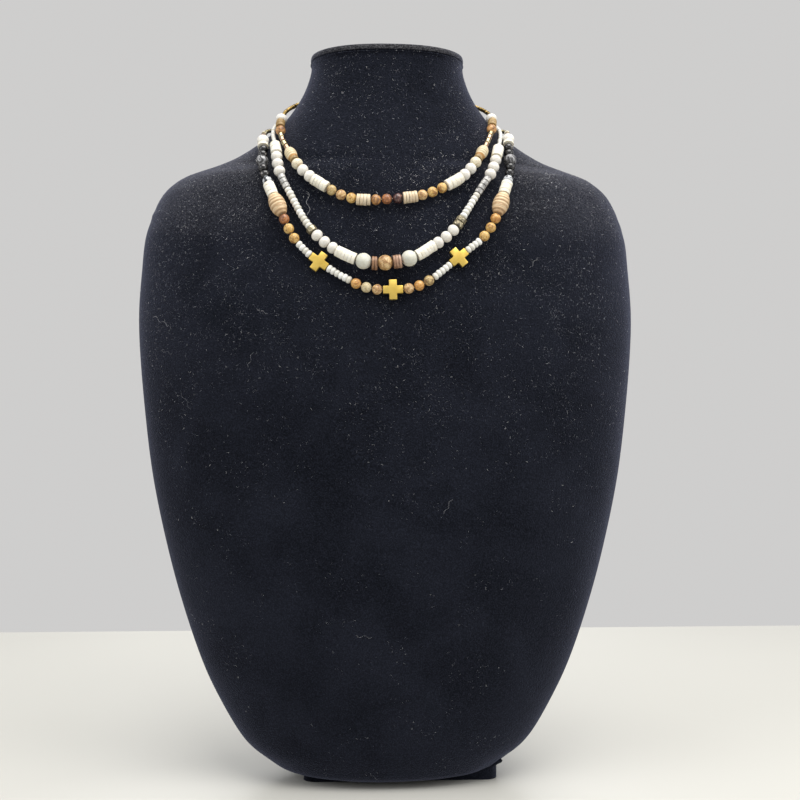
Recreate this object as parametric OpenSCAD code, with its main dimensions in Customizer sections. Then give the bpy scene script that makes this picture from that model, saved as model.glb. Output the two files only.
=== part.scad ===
// Necklace of three bead strands on one clasp, worn by a velvet neck bust.
// Millimetres. The bust stands on z = 0, its front looks along -y, and x runs to the viewer's right.
// Every bead is placed along its strand by length, on a thread that follows the surface of the bust.

/* [Bust] */
// Height at which the shoulders turn into the neck
shoulder_height = 331; // [280:1:400]
// Width across the shoulders
shoulder_width = 270; // [230:1:320]
// How far the chest reaches in front of the shoulder line
chest_reach = 54.5; // [46:0.5:70]
// How far the back reaches behind the shoulder line
back_reach = 48; // [40:0.5:60]

/* [Neck] */
// Height of the neck, from the shoulders to its rim
neck_height = 58; // [52:1:80]
// Width of the neck at its rim
neck_width = 83; // [74:0.2:96]
// How far the throat reaches in front of the shoulder line
neck_reach = 34; // [28:0.5:42]
// How far the nape reaches behind the shoulder line
nape_reach = 26; // [20:0.5:36]
// Thickness of the oval cap that closes the neck
cap_thickness = 4.2; // [3:0.1:8]
// How far the cap stands out over the rim of the neck
cap_overhang = 0.5; // [0.2:0.1:1.5]

/* [Foot] */
// Width of the foot block
foot_width = 105; // [80:1:120]
// Length of the foot block from front to back
foot_depth = 72; // [56:1:90]
// Height of the foot block
foot_height = 14; // [10:0.5:24]
// Radius of the upright edges of the foot block
foot_corner = 6; // [2:0.5:12]
// How far the foot block starts in front of the shoulder line
foot_front = 17; // [8:0.5:22]
// How far the foot block sits to the viewer's right
foot_shift = 7; // [-7:0.5:7]
// Clearance round the foot block in its pocket
foot_fit = 0.3; // [0.2:0.05:0.6]

/* [Round beads] */
// Diameter of the jasper rounds
jasper_d = 5.3; // [5:0.1:6.2]
// Diameter of the jasper round in the middle of the second strand
centre_d = 7.8; // [6.5:0.1:8.5]
// Diameter of the frosted rounds beside it
frosted_d = 8.2; // [6.5:0.1:8.5]
// Diameter of the white rounds
white_d = 6; // [5:0.1:6.4]
// Length of the white rounds between their flat ends
white_l = 4.9; // [4:0.1:5.8]
// Diameter of the black rounds
black_d = 5; // [4.4:0.1:5.6]
// Length of the black rounds between their flat ends
black_l = 4; // [3.6:0.1:4.6]
// Diameter of the large dark rounds on the outer strand
dark_d = 6.8; // [5.6:0.1:7.2]
// Diameter of the large white rounds on the outer strand
big_white_d = 6.5; // [5.6:0.1:6.8]
// Diameter of the small gold beads
gold_d = 3; // [2.6:0.1:3.6]
// Length of the small gold beads
gold_l = 2.9; // [2.2:0.1:3.2]

/* [Discs, barrels and chips] */
// Diameter of the shell discs
disc_d = 6; // [5:0.1:6.4]
// Thickness of the shell discs
disc_t = 1.45; // [1.2:0.05:1.8]
// Thickness of the thin shell discs
thin_disc_t = 1.15; // [0.9:0.05:1.3]
// Thickness of the thick shell discs
thick_disc_t = 2; // [1.6:0.05:2.4]
// Diameter of the brown discs beside the frosted rounds
brown_disc_d = 7; // [6.2:0.1:7.2]
// Thickness of the brown discs beside the frosted rounds
brown_disc_t = 1.1; // [0.9:0.05:1.3]
// Diameter of the small brown discs at the sides
side_disc_d = 5; // [4.4:0.1:5.4]
// Diameter of the cream barrels
cream_barrel_d = 6.3; // [5.6:0.1:6.6]
// Length of the cream barrels
cream_barrel_l = 7.6; // [6.6:0.1:8]
// Diameter of the banded barrels
banded_barrel_d = 8.6; // [7.4:0.1:9]
// Length of the banded barrels
banded_barrel_l = 11.6; // [10:0.1:12.4]
// Width across the small grey prisms
prism_d = 4; // [3.6:0.1:4.4]
// Length of the small grey prisms
prism_l = 2.4; // [2:0.1:2.6]
// Width across the angular chips
chip_d = 5.4; // [4.8:0.1:5.8]
// Length of the angular chips
chip_l = 2.6; // [2.2:0.1:2.8]

/* [Crosses] */
// Span of a cross from tip to tip
cross_span = 10.2; // [9.4:0.1:10.6]
// Width of the arms of a cross
cross_arm = 4; // [3.4:0.1:4.6]
// Thickness of a cross
cross_t = 2.4; // [2:0.1:3]

/* [Seed beads] */
// Diameter of the white seed beads
seed_d = 4; // [3.4:0.1:4.2]
// Length of one white seed bead
seed_l = 2.3; // [2:0.05:2.5]
// Diameter of the small seed beads that run round the nape
nape_seed_d = 2.3; // [2.1:0.1:3]

/* [Thread and clasp] */
// Diameter of the thread
thread_d = 0.5; // [0.4:0.05:0.6]
// Clearance between the thread and the bore of a bead, all round
bore_fit = 0.25; // [0.15:0.05:0.3]
// Clearance between two beads on the thread
bead_gap = 0.3; // [0.25:0.05:0.35]
// Clearance between a bead and the bust
seat_gap = 0.35; // [0.3:0.05:0.5]
// Width of the clasp bar
clasp_width = 6; // [5:0.5:8]
// Length of the clasp bar across the three strands
clasp_length = 19; // [18:0.5:24]
// Thickness of the clasp bar
clasp_thickness = 3.4; // [3:0.1:4.4]

/* [Hidden] */
$fn = 48;
bust_sides = 48;
ring_steps = 2;
thread_sides = 6;
tube_sides = 8;
tube_pitch = 2.4;
// Diameter of the flat ends of a barrel and of a rondel, as a share of the bead's diameter
barrel_end = 0.6;
rondel_end = 0.32;
route_steps = 6;
bore_d = thread_d + 2 * bore_fit;
rim_height = shoulder_height + neck_height;

// Sections of the body: height as a share of shoulder_height, half width as a share of half
// the shoulder_width, front as a share of chest_reach, back as a share of back_reach, and the
// power that squares the section up.
body_table = [
    [0.008, 0.268, 0.477, 0.375, 2.2],
    [0.015, 0.404, 0.587, 0.500, 2.2],
    [0.035, 0.491, 0.660, 0.604, 2.2],
    [0.068, 0.584, 0.725, 0.688, 2.2],
    [0.134, 0.681, 0.789, 0.771, 2.2],
    [0.202, 0.756, 0.844, 0.833, 2.2],
    [0.302, 0.836, 0.908, 0.896, 2.2],
    [0.402, 0.898, 0.954, 0.938, 2.2],
    [0.502, 0.946, 0.982, 0.969, 2.2],
    [0.604, 0.976, 1.000, 0.990, 2.2],
    [0.701, 0.996, 1.000, 1.000, 2.2],
    [0.770, 1.000, 0.982, 1.000, 2.2],
    [0.834, 0.990, 0.945, 0.990, 2.15],
    [0.882, 0.979, 0.908, 0.969, 2.1],
    [0.918, 0.956, 0.872, 0.938, 2],
    [0.943, 0.931, 0.844, 0.906, 1.9],
    [0.961, 0.904, 0.826, 0.875, 1.83],
    [0.976, 0.866, 0.807, 0.844, 1.77],
    [0.988, 0.821, 0.789, 0.823, 1.70],
    [1.000, 0.746, 0.771, 0.802, 1.56]];

// Sections of the neck: height as a share of neck_height, and how much of the way from the
// neck's own sizes out to the shoulders' the section still flares, across and from front to back.
neck_table = [
    [0.086, 0.756, 0.838], [0.207, 0.540, 0.618], [0.362, 0.332, 0.386],
    [0.534, 0.178, 0.209], [0.707, 0.073, 0.084], [0.862, 0.015, 0.015],
    [0.940, 0, 0], [1, 0, 0]];
neck_power = 2.3;

// Edge of the cap: height as a share of cap_thickness, and the outset as a share of
// cap_overhang, or further in as a share of cap_thickness where it is negative.
cap_table = [
    [0.00, -0.10], [0.15, 0.60], [0.50, 1.00], [0.78, 0.40],
    [0.93, -0.25], [1.00, -0.90], [1.06, -3.00]];

// Shape names of the beads
ROUND = "round";
DISC = "disc";
BARREL = "barrel";
RONDEL = "rondel";
PRISM = "prism";
PLUS = "plus";
TUBE = "tube";

// Kinds of bead: node name, diameter, length, shape, colour, and whether each is its own node.
JASPER = ["jasper", jasper_d, jasper_d, ROUND, "peru", true];
CENTRE = ["centre_jasper", centre_d, centre_d, ROUND, "burlywood", true];
FROSTED = ["frosted_round", frosted_d, frosted_d, ROUND, "whitesmoke", true];
DARK = ["dark_round", dark_d, dark_d, ROUND, "dimgray", true];
BIG_WHITE = ["big_white_round", big_white_d, big_white_d, ROUND, "ivory", true];
CROSS = ["cross", cross_arm, cross_span, PLUS, "goldenrod", true];
CREAM_BARREL = ["cream_barrel", cream_barrel_d, cream_barrel_l, BARREL, "moccasin", true];
BANDED_BARREL = ["banded_barrel", banded_barrel_d, banded_barrel_l, BARREL, "tan", true];
WHITE = ["white_rounds", white_d, white_l, RONDEL, "white", false];
BLACK = ["black_rounds", black_d, black_l, RONDEL, "black", false];
SHELL = ["shell_discs", disc_d, disc_t, DISC, "seashell", false];
THIN_SHELL = ["shell_discs", disc_d, thin_disc_t, DISC, "seashell", false];
THICK_SHELL = ["shell_discs", disc_d, thick_disc_t, DISC, "seashell", false];
BROWN_DISC = ["brown_discs", brown_disc_d, brown_disc_t, DISC, "saddlebrown", false];
SIDE_DISC = ["brown_discs", side_disc_d, disc_t, DISC, "saddlebrown", false];
GOLD = ["gold_beads", gold_d, gold_l, PRISM, "gold", false];
GREY_PRISM = ["grey_beads", prism_d, prism_l, PRISM, "silver", false];
CHIP = ["grey_beads", chip_d, chip_l, PRISM, "gray", false];
SEEDS = ["white_seeds", seed_d, seed_l, TUBE, "white", false];
NAPE_GOLD = ["nape_seeds", nape_seed_d, seed_l, TUBE, "gold", false];
NAPE_WHITE = ["white_seeds", nape_seed_d, seed_l, TUBE, "white", false];

// Beads of each strand from its middle bead outwards, as kind and count, to the left and right.
// The last row runs on round the nape to the clasp.
choker_left = [[JASPER, 1], [SHELL, 4], [JASPER, 3], [SHELL, 5], [WHITE, 3], [SIDE_DISC, 1],
    [CREAM_BARREL, 1], [GOLD, 4], [JASPER, 1], [SIDE_DISC, 3], [WHITE, 1], [NAPE_GOLD, 1]];
choker_right = [[JASPER, 1], [THIN_SHELL, 5], [JASPER, 3], [THICK_SHELL, 4], [WHITE, 3],
    [SIDE_DISC, 1], [CREAM_BARREL, 1], [GOLD, 4], [JASPER, 1], [SIDE_DISC, 3], [WHITE, 1],
    [NAPE_GOLD, 1]];
middle_left = [[BROWN_DISC, 2], [FROSTED, 1], [SHELL, 6], [WHITE, 3], [CHIP, 1], [SEEDS, 11],
    [GREY_PRISM, 3], [WHITE, 3], [SHELL, 4], [NAPE_WHITE, 1]];
middle_right = [[BROWN_DISC, 3], [FROSTED, 1], [SHELL, 6], [WHITE, 3], [CHIP, 2], [SEEDS, 7],
    [GREY_PRISM, 4], [WHITE, 3], [SHELL, 4], [NAPE_WHITE, 1]];
outer_left = [[JASPER, 3], [SEEDS, 6], [CROSS, 1], [SEEDS, 4], [JASPER, 3], [BANDED_BARREL, 1],
    [SHELL, 4], [BLACK, 3], [DARK, 1], [BLACK, 2], [SHELL, 1], [BIG_WHITE, 1], [GOLD, 2],
    [NAPE_GOLD, 1]];
outer_right = [[JASPER, 3], [SEEDS, 5], [CROSS, 1], [SEEDS, 4], [JASPER, 3], [BANDED_BARREL, 1],
    [SHELL, 4], [BLACK, 3], [DARK, 1], [BLACK, 2], [SHELL, 1], [BIG_WHITE, 1], [GOLD, 2],
    [NAPE_GOLD, 1]];

// Route of each strand from the clasp round the left side to the front and back to the clasp:
// the angle round the bust from its front, and how far below the rim of the neck.
choker_route = [
    [-180, 13], [-165, 13.1], [-150, 13.5], [-135, 14.2], [-120, 15.4], [-107, 17.4],
    [-97, 20.4], [-89, 24.4], [-83, 28.7], [-77.5, 34], [-71.5, 40.8], [-65.5, 48.2], [-59, 56.2],
    [-52.5, 63.3], [-46, 69.2], [-38, 74.6], [-28, 80], [-16, 82], [-2, 81.5], [12, 80.5], [25, 78], [38, 72],
    [45, 67.4], [51.5, 61.4], [57.5, 54.6], [63.5, 47.2], [69.5, 40.6], [75.5, 34.6], [81.5, 29.6],
    [88, 25.2], [96.5, 20.8], [107, 17.6], [120, 15.4], [135, 14.2], [150, 13.5], [165, 13.1],
    [180, 13]];
middle_route = [
    [-180, 20], [-165, 20.4], [-150, 21.5], [-135, 23], [-120, 25], [-109, 27], [-98, 30],
    [-86, 34.5], [-78, 40], [-66.5, 52], [-58, 66], [-51, 78.5], [-42, 95.5], [-31, 107],
    [-16, 114], [-4, 114.7], [11, 112.7], [22, 107], [34, 98], [43, 84.5], [50, 73.5],
    [56, 65.5], [66.5, 50.5], [77, 40], [86, 34.5], [98, 30], [109, 27], [120, 25],
    [135, 23], [150, 21.5], [165, 20.4], [180, 20]];
outer_route = [
    [-180, 27], [-165, 27.4], [-150, 28.4], [-135, 29.8], [-120, 31.3], [-109, 32.6],
    [-99, 34.4], [-92, 36.6], [-85.5, 39], [-79, 43.3], [-74, 48.3], [-69.5, 55.4],
    [-65, 62.3], [-61, 69], [-57, 77.5], [-51.5, 90], [-46, 103], [-36.5, 114], [-19, 125],
    [-7, 128], [10, 127.5], [22, 123], [37, 110], [47, 99.5], [53, 86.5], [56.5, 76.8],
    [60, 69], [64, 61.8], [68, 55.5], [72, 48.4], [77.5, 42.8], [84.5, 38.6], [92, 36],
    [99, 34.4], [109, 32.6], [120, 31.3], [135, 29.8], [150, 28.4], [165, 27.4], [180, 27]];

// Strands: name, middle bead, angle of the middle bead, beads to the left, to the right, route.
strands = [
    ["choker", JASPER, -2, choker_left, choker_right, choker_route],
    ["middle", CENTRE, -3, middle_left, middle_right, middle_route],
    ["outer", CROSS, 1.5, outer_left, outer_right, outer_route]];

// How fast the thread may come back to the bust beside a thick bead, and how far on each side
// the change is smoothed out
thread_slope = 0.12;
thread_reach = 5;
// Height above the bust at which the route of a strand is drawn and its length is measured
route_rise = 3;
// How far apart the points are that give the direction of the surface: degrees and height
normal_angle = 2;
normal_reach = 3;
// How far a cut runs on past the face that it starts from
cut_past = 1;

// A point on the smooth curve through rows, t of the way from row i to the next.
function curve(rows, i, t) =
    let (a = rows[max(i - 1, 0)], b = rows[i], c = rows[i + 1], d = rows[min(i + 2, len(rows) - 1)])
    (2 * b + (c - a) * t + (2 * a - 5 * b + 4 * c - d) * t * t
        + (3 * b - a - 3 * c + d) * t * t * t) / 2;
function smooth(rows, steps) = concat(
    [for (i = [0:len(rows) - 2]) for (k = [0:steps - 1]) curve(rows, i, k / steps)],
    [rows[len(rows) - 1]]);
function unit(v) = v / norm(v);
function column(rows, n) = [for (row = rows) [row[0], row[n]]];

// Sections in millimetres: height, half width, front, back and power.
body_sections = [for (row = body_table) [
    row[0] * shoulder_height, row[1] * shoulder_width / 2, row[2] * chest_reach,
    row[3] * back_reach, row[4]]];
shoulder_edge = body_sections[len(body_sections) - 1];
neck_own = [0, neck_width / 2, neck_reach, nape_reach, neck_power];
neck_sections = [for (row = neck_table)
    let (flare = shoulder_edge - neck_own)
    [shoulder_height + row[0] * neck_height,
        neck_own[1] + row[1] * flare[1], neck_own[2] + row[2] * flare[2],
        neck_own[3] + row[2] * flare[3], neck_own[4] + row[1] * flare[4]]];
bust_rings = smooth(concat(body_sections, neck_sections), ring_steps);
width_at = column(bust_rings, 1);
front_at = column(bust_rings, 2);
back_at = column(bust_rings, 3);
power_at = column(bust_rings, 4);

// A point of a section at an angle from the front, grown outwards by an outset.
function oval(half_width, front, back, power, angle, outset = 0) =
    let (
        half_depth = (front + back) / 2 + outset,
        across = abs(sin(angle)) / (half_width + outset),
        along = abs(cos(angle)) / half_depth,
        reach = pow(pow(across, power) + pow(along, power), -1 / power))
    [reach * sin(angle), (back - front) / 2 - reach * cos(angle)];
function bust_point(angle, z) =
    let (p = oval(lookup(z, width_at), lookup(z, front_at), lookup(z, back_at),
        lookup(z, power_at), angle))
    [p.x, p.y, z];
function bust_normal(angle, z) = unit(cross(
    bust_point(angle + normal_angle, z) - bust_point(angle - normal_angle, z),
    bust_point(angle, z + normal_reach) - bust_point(angle, z - normal_reach)));

// Track of a strand: a smooth curve through the points of its route, each lifted off the bust.
// It holds one table of length to value for x, y, z and for the outward direction there.
// Lengths count from the middle bead.
function lifted(q) =
    let (z = rim_height - q[1], out = bust_normal(q[0], z))
    concat(bust_point(q[0], z) + route_rise * out, out, [q[0]]);
function place(row) = [row[0], row[1], row[2]];
function track(strand) =
    let (
        rows = smooth([for (q = strand[5]) lifted(q)], route_steps),
        last = len(rows) - 1,
        lengths = [for (i = 0, s = 0; i <= last;
            s = s + (i < last ? norm(place(rows[i + 1]) - place(rows[i])) : 0), i = i + 1) s],
        middle = lookup(strand[2], [for (i = [0:last]) [rows[i][6], lengths[i]]]))
    [for (c = [0:5]) [for (i = [0:last]) [lengths[i] - middle, rows[i][c]]]];
tracks = [for (strand = strands) track(strand)];
function on_track(n, s, first) = [for (c = [first:first + 2]) lookup(s, tracks[n][c])];

// Beads of one half as a flat list of kinds with their lengths. The last one reaches the clasp.
function flat(rows) = [for (row = rows)
    for (i = [1:row[0][3] == TUBE ? 1 : row[1]])
        [row[0], row[0][2] * (row[0][3] == TUBE ? row[1] : 1)]];
function half_strand(rows, middle_length, end) =
    let (beads = flat(rows), last = len(beads) - 1)
    [for (i = 0, s = middle_length / 2 + bead_gap; i <= last;
        s = s + beads[i][1] + bead_gap, i = i + 1)
        let (l = i == last ? end - s : beads[i][1])
        [beads[i][0], s + l / 2, l]];

// All beads of a strand from left to right: kind, place along the strand, length.
function placed(n) =
    let (
        strand = strands[n], row = tracks[n][0], l = strand[1][2],
        clasp_room = clasp_width / 2 + seat_gap,
        left = half_strand(strand[3], l, -row[0][0] - clasp_room),
        right = half_strand(strand[4], l, row[len(row) - 1][0] - clasp_room))
    concat(
        [for (i = [len(left) - 1:-1:0]) [left[i][0], -left[i][1], left[i][2]]],
        [[strand[1], 0, l]],
        right);
bead_rows = [for (n = [0:len(strands) - 1]) placed(n)];

// How high the thread runs over the bust: every bead lifts it, and it sinks again beside it.
function lift(kind) = kind[3] == PLUS ? cross_t / 2 : kind[1] / 2;
function level(n, s) = max([for (b = bead_rows[n])
    lift(b[0]) - thread_slope * max(0, abs(s - b[1]) - b[2] / 2 - thread_reach)]);
function rise(n, s) =
    let (levels = [for (k = [-2:2]) level(n, s + k * thread_reach / 2)])
    seat_gap + levels * [1, 1, 1, 1, 1] / 5;
function outwards(n, s) = unit(on_track(n, s, 3));
function thread_point(n, s) =
    on_track(n, s, 0) + (rise(n, s) - route_rise) * outwards(n, s);

// Rings round a path, and the solid between them.
function path_ring(p, along, out, radius, sides) =
    let (y = unit(cross(along, out)), x = cross(y, along))
    [for (k = [0:sides - 1]) p + radius * (cos(360 * k / sides) * x + sin(360 * k / sides) * y)];
module between(rings) {
    sides = len(rings[0]);
    last = len(rings) - 1;
    polyhedron(
        points = [for (ring = rings) for (p = ring) p],
        faces = concat(
            [[for (k = [0:sides - 1]) k]],
            [[for (k = [sides - 1:-1:0]) last * sides + k]],
            [for (i = [0:last - 1]) for (k = [0:sides - 1])
                let (a = i * sides + k, b = i * sides + (k + 1) % sides)
                [a, a + sides, b + sides, b]]));
}
function heading(n, s) = unit(thread_point(n, s + 0.5) - thread_point(n, s - 0.5));
module tube(n, stations, radius, sides) {
    between([for (s = stations)
        path_ring(thread_point(n, s), heading(n, s), outwards(n, s), radius, sides)]);
}

// The bust
module bust_body() {
    color("#1b1b22")
    difference() {
        between([for (row = bust_rings) [for (k = [bust_sides - 1:-1:0])
            let (p = oval(row[1], row[2], row[3], row[4], 360 * k / bust_sides))
            [p.x, p.y, row[0]]]]);
        translate([0, 0, -cut_past])
            linear_extrude(foot_height + cut_past)
                foot_outline(foot_fit);
    }
}
module bust_cap() {
    color("#24242c")
    between([for (row = cap_table)
        let (outset = row[1] * (row[1] > 0 ? cap_overhang : cap_thickness))
        [for (k = [bust_sides - 1:-1:0])
            let (p = oval(neck_width / 2, neck_reach, nape_reach, neck_power,
                360 * k / bust_sides, outset))
            [p.x, p.y, rim_height + row[0] * cap_thickness]]]);
}
module foot_outline(outset) {
    centre = [foot_shift, foot_depth / 2 - foot_front];
    r = foot_corner + outset;
    w = foot_width + 2 * outset;
    d = foot_depth + 2 * outset;
    translate(centre) {
        square([w - 2 * r, d], center = true);
        square([w, d - 2 * r], center = true);
        for (x = [-1, 1])
            for (y = [-1, 1])
                translate([x * (w / 2 - r), y * (d / 2 - r)])
                    circle(r);
    }
}
module bust_foot() {
    color("#202028")
    linear_extrude(foot_height)
        foot_outline(0);
}

// Bead solids, drilled along z
module drilled(length) {
    difference() {
        children();
        cylinder(h = length + 2 * cut_past, d = bore_d, center = true);
    }
}
module round_bead(d) {
    drilled(d)
        sphere(d = d);
}
module disc_bead(d, length) {
    edge = length / 5;
    rotate_extrude()
        polygon([
            [bore_d / 2, -length / 2], [d / 2 - edge, -length / 2], [d / 2, edge - length / 2],
            [d / 2, length / 2 - edge], [d / 2 - edge, length / 2], [bore_d / 2, length / 2]]);
}
module barrel_bead(d, length, end_share) {
    end_d = end_share * d;
    dip = (d - end_d) / 2;
    bulge = (length * length / 4 + dip * dip) / (2 * dip);
    rotate_extrude()
        intersection() {
            translate([d / 2 - bulge, 0])
                circle(bulge, $fn = 96);
            translate([bore_d / 2, -length / 2])
                square([d, length]);
        }
}
module prism_bead(d, length) {
    drilled(length)
        cylinder(h = length, d = d, center = true, $fn = 8);
}
module cross_bead() {
    drilled(cross_span) {
        cube([cross_t, cross_arm, cross_span], center = true);
        cube([cross_t, cross_span, cross_arm], center = true);
    }
}

// One bead on its strand, turned along the thread and with its flat side to the bust
module bead(n, b) {
    kind = b[0];
    reach = (b[2] + bead_gap) / 2;
    from = thread_point(n, b[1] - reach);
    to = thread_point(n, b[1] + reach);
    z = unit(to - from);
    y = unit(cross(z, outwards(n, b[1])));
    x = cross(y, z);
    p = (from + to) / 2;
    color(kind[4])
    multmatrix([[x.x, y.x, z.x, p.x], [x.y, y.y, z.y, p.y], [x.z, y.z, z.z, p.z]]) {
        if (kind[3] == ROUND) round_bead(kind[1]);
        if (kind[3] == DISC) disc_bead(kind[1], kind[2]);
        if (kind[3] == BARREL) barrel_bead(kind[1], kind[2], barrel_end);
        if (kind[3] == RONDEL) barrel_bead(kind[1], kind[2], rondel_end);
        if (kind[3] == PRISM) prism_bead(kind[1], kind[2]);
        if (kind[3] == PLUS) cross_bead();
    }
}
module bead_group(n, name) {
    for (b = bead_rows[n])
        if (b[0][0] == name)
            if (b[0][3] == TUBE) seed_tube(n, b);
            else bead(n, b);
}

// A run of seed beads, as the tube that they fill
module seed_tube(n, b) {
    count = ceil(b[2] / (tube_pitch * b[0][1]));
    color(b[0][4])
    tube(n, [for (i = [0:count]) b[1] - b[2] / 2 + b[2] * i / count], b[0][1] / 2, tube_sides);
}

// The thread of a strand shows between its runs of seed beads.
function is_drilled(n, i) =
    i >= 0 && i < len(bead_rows[n]) && bead_rows[n][i][0][3] != TUBE;
function bead_end(n, i, side, gap) = bead_rows[n][i][1] + side * (bead_rows[n][i][2] + gap) / 2;
module thread(n) {
    order = [for (i = [0:len(bead_rows[n]) - 1]) i];
    starts = [for (i = order) if (is_drilled(n, i) && !is_drilled(n, i - 1)) i];
    ends = [for (i = order) if (is_drilled(n, i) && !is_drilled(n, i + 1)) i];
    color("#d8d0c0")
    for (k = [0:len(starts) - 1])
        tube(n, concat(
                [bead_end(n, starts[k], -1, 0)],
                [for (i = [starts[k]:1:ends[k] - 1]) bead_end(n, i, 1, bead_gap)],
                [bead_end(n, ends[k], 1, 0)]),
            thread_d / 2, thread_sides);
}

// The clasp bar at the nape, which all three strands end at
module clasp() {
    drops = [for (strand = strands) strand[5][0][1]];
    z = rim_height - (max(drops) + min(drops)) / 2;
    top = bust_point(180, z + clasp_length / 2);
    foot = bust_point(180, z - clasp_length / 2);
    up = unit(top - foot);
    out = cross([-1, 0, 0], up);
    p = (top + foot) / 2 + (seat_gap + clasp_thickness / 2) * out;
    side = cross(up, out);
    r = clasp_width / 2;
    color("goldenrod")
    multmatrix([[side.x, up.x, out.x, p.x], [side.y, up.y, out.y, p.y], [side.z, up.z, out.z, p.z]])
        linear_extrude(clasp_thickness, center = true) {
            square([clasp_width, clasp_length - 2 * r], center = true);
            for (y = [-1, 1])
                translate([0, y * (clasp_length / 2 - r)])
                    circle(r);
        }
}

// Node names: the beads that are nodes of their own are numbered from left to right.
function numbered(n) = [for (i = [0:len(bead_rows[n]) - 1])
    let (b = bead_rows[n][i], before = [for (k = [0:i]) if (bead_rows[n][k][0][0] == b[0][0]) k])
    if (b[0][5]) [n, b, str(strands[n][0], "_", b[0][0], "_", len(before))]];
main_beads = [for (n = [0:len(strands) - 1]) for (m = numbered(n)) m];
groups = [
    [0, "white_rounds"], [0, "shell_discs"], [0, "brown_discs"], [0, "gold_beads"],
    [0, "nape_seeds"],
    [1, "white_rounds"], [1, "shell_discs"], [1, "brown_discs"], [1, "grey_beads"],
    [1, "white_seeds"],
    [2, "shell_discs"], [2, "black_rounds"], [2, "gold_beads"], [2, "white_seeds"],
    [2, "nape_seeds"]];

bust_body();
bust_cap();
bust_foot();
clasp();
for (n = [0:len(strands) - 1])
    thread(n);
for (m = main_beads)
    bead(m[0], m[1]);
for (g = groups)
    bead_group(g[0], g[1]);
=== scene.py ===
# %% [markdown]
# # A three strand bead necklace on a velvet bust
# The object is a necklace of three bead strands, shown on the dark velvet bust that jewellers use.
# The exact solids come from a CAD frame, and this lesson dresses them: velvet and lint on the bust,
# stone, shell, wood, glass and gold on the beads, and each small seed bead on its own.

# %% Load the frame
import math
import random

import bmesh
import bpy
import numpy as np
from mathutils import Matrix, Vector
from mathutils.bvhtree import BVHTree


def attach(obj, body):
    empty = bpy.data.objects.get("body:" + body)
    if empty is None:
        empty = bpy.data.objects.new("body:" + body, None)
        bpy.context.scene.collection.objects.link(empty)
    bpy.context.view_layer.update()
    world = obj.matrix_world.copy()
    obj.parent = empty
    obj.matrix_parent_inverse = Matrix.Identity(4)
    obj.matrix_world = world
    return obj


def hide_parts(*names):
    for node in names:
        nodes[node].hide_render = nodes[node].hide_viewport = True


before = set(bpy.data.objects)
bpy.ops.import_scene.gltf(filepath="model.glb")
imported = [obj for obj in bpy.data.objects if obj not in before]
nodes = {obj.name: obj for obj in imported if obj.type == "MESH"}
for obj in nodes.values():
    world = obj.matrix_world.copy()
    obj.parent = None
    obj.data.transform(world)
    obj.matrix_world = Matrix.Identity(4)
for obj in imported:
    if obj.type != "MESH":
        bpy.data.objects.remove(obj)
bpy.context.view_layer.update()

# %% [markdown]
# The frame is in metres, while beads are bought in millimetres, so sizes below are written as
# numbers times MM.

MM = 0.001
WELD = 0.002 * MM        # points nearer than this are one point

# %% [markdown]
# Operators act on whatever is selected, and loading leaves every solid selected. So each step
# starts by picking the one piece it works on, and picks faces, edges or points by where they lie.

# %% Pick a piece and finish a piece
def pick(piece):
    """Leaves one piece selected and active, in object mode."""
    if bpy.context.object and bpy.context.object.mode != "OBJECT":
        bpy.ops.object.mode_set(mode="OBJECT")
    bpy.ops.object.select_all(action="DESELECT")
    piece.select_set(True)
    bpy.context.view_layer.objects.active = piece
    return piece


def pick_points(piece, chosen):
    """Goes into edit mode with the points chosen by chosen(place) selected."""
    pick(piece)
    bpy.ops.object.mode_set(mode="EDIT")
    bpy.ops.mesh.select_mode(type="VERT")
    bpy.ops.mesh.select_all(action="DESELECT")
    bpy.ops.object.mode_set(mode="OBJECT")
    for point in piece.data.vertices:
        point.select = chosen(point.co)
    bpy.ops.object.mode_set(mode="EDIT")


def apply_modifier(piece, kind, **settings):
    """Adds a modifier and applies it."""
    pick(piece)
    added = piece.modifiers.new(kind.title(), kind)
    for name, value in settings.items():
        setattr(added, name, value)
    bpy.ops.object.modifier_apply(modifier=added.name)


def finish_piece(piece, name, finish, replaced, smooth_below=40):
    """Names a piece, gives it its finish, and lets it ride in place of its solids."""
    pick(piece)
    piece.name = piece.data.name = name
    if smooth_below:
        bpy.ops.object.shade_smooth_by_angle(angle=math.radians(smooth_below))
    else:
        bpy.ops.object.shade_flat()
    if finish:
        piece.data.materials.clear()
        piece.data.materials.append(finish)
    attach(piece, "root")
    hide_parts(*replaced)
    print(f"{name}: {len(piece.data.polygons)} faces")
    return piece


def copy_solid(node, name):
    """A copy of a solid as a clean mesh, with its loose triangles welded and paired to quads."""
    piece = nodes[node].copy()
    piece.data = nodes[node].data.copy()
    piece.parent = None
    for key in list(piece.keys()):
        del piece[key]
    bpy.context.scene.collection.objects.link(piece)
    piece.name = name
    pick(piece)
    if piece.data.has_custom_normals:
        bpy.ops.mesh.customdata_custom_splitnormals_clear()
    bpy.ops.object.mode_set(mode="EDIT")
    bpy.ops.mesh.select_all(action="SELECT")
    bpy.ops.mesh.remove_doubles(threshold=WELD)
    bpy.ops.mesh.tris_convert_to_quads(face_threshold=0.6, shape_threshold=0.8)
    bpy.ops.object.mode_set(mode="OBJECT")
    return piece


# %% [markdown]
# A finish is a small network of nodes. Written node by node it is hard to follow, so sockets are
# wrapped in a class that knows how to add, subtract and multiply: the sum `1 - mask` then reads as
# maths and still becomes a Math node. Every other node comes from one method.

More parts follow.
